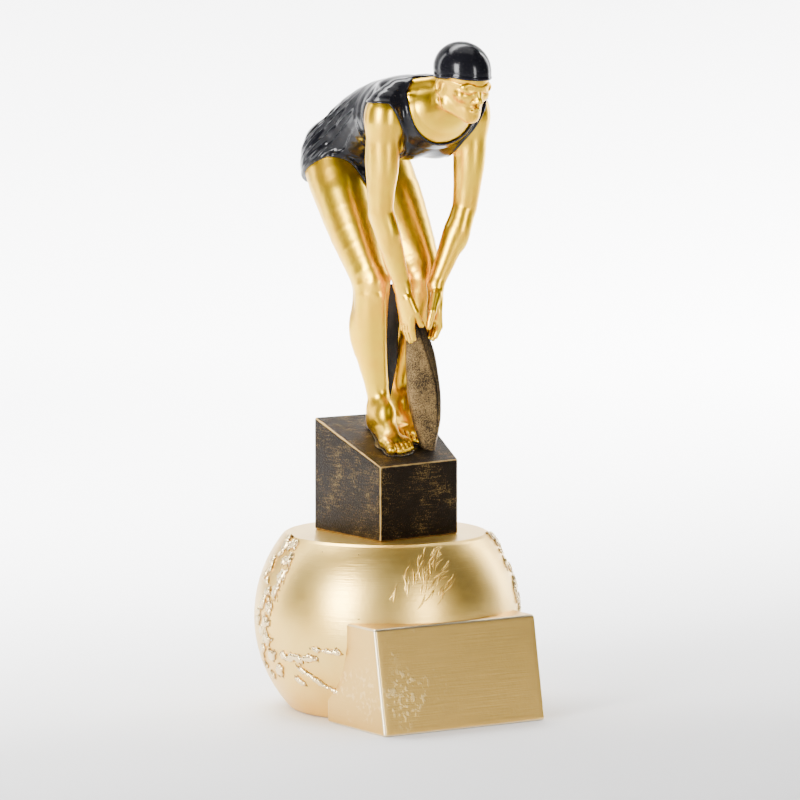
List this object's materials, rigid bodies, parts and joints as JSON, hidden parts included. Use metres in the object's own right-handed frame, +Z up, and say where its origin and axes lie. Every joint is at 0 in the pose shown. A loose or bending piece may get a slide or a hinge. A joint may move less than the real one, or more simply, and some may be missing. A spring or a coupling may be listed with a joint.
{
  "type": "figure trophy",
  "caption": "Swimming trophy: a gold swimmer in a black suit, cap and goggles bends over a starting block set on a globe with a blank plaque wedge.",
  "frame": {"origin": "on the globe's upright axis, at the plane the trophy stands on", "axes": "+Z up, the plaque and the figure face -Y, +X to the right of someone looking along +Y"},
  "size_m": [0.0693, 0.0753, 0.1741],
  "materials": {
    "champagne_gold": "satin champagne-gold metallic paint on cast resin",
    "figure_gold": "polished warm-gold metallic paint on cast resin, browner in the hollows",
    "gloss_black": "high-gloss black lacquer",
    "dark_bronze": "dark bronze-black paint, gold dry-brushed on the edges and high spots",
    "speckled_bronze": "dark bronze paint with a dense gold speckle",
    "steel": "zinc-plated",
    "brass": "machined",
    "felt": "short black pile"
  },
  "bodies": {
    "root": {"base_felt": "felt", "globe_base": "champagne_gold", "land_relief": "champagne_gold", "plaque_wedge": "champagne_gold", "wedge_pins": "steel", "centre_bolt": "steel", "bolt_washer": "steel", "block_insert": "brass", "start_block": "dark_bronze", "wave_fin": "speckled_bronze", "fin_pin": "steel", "leg_web": "gloss_black", "right_leg": "figure_gold", "left_leg": "figure_gold", "foot_pins": "steel", "swimsuit": "gloss_black", "chest_and_neck": "figure_gold", "right_arm": "figure_gold", "left_arm": "figure_gold", "arm_pins": "steel", "head": "figure_gold", "neck_pin": "steel", "swim_cap": "gloss_black", "goggles": "figure_gold"}
  },
  "joints": []
}
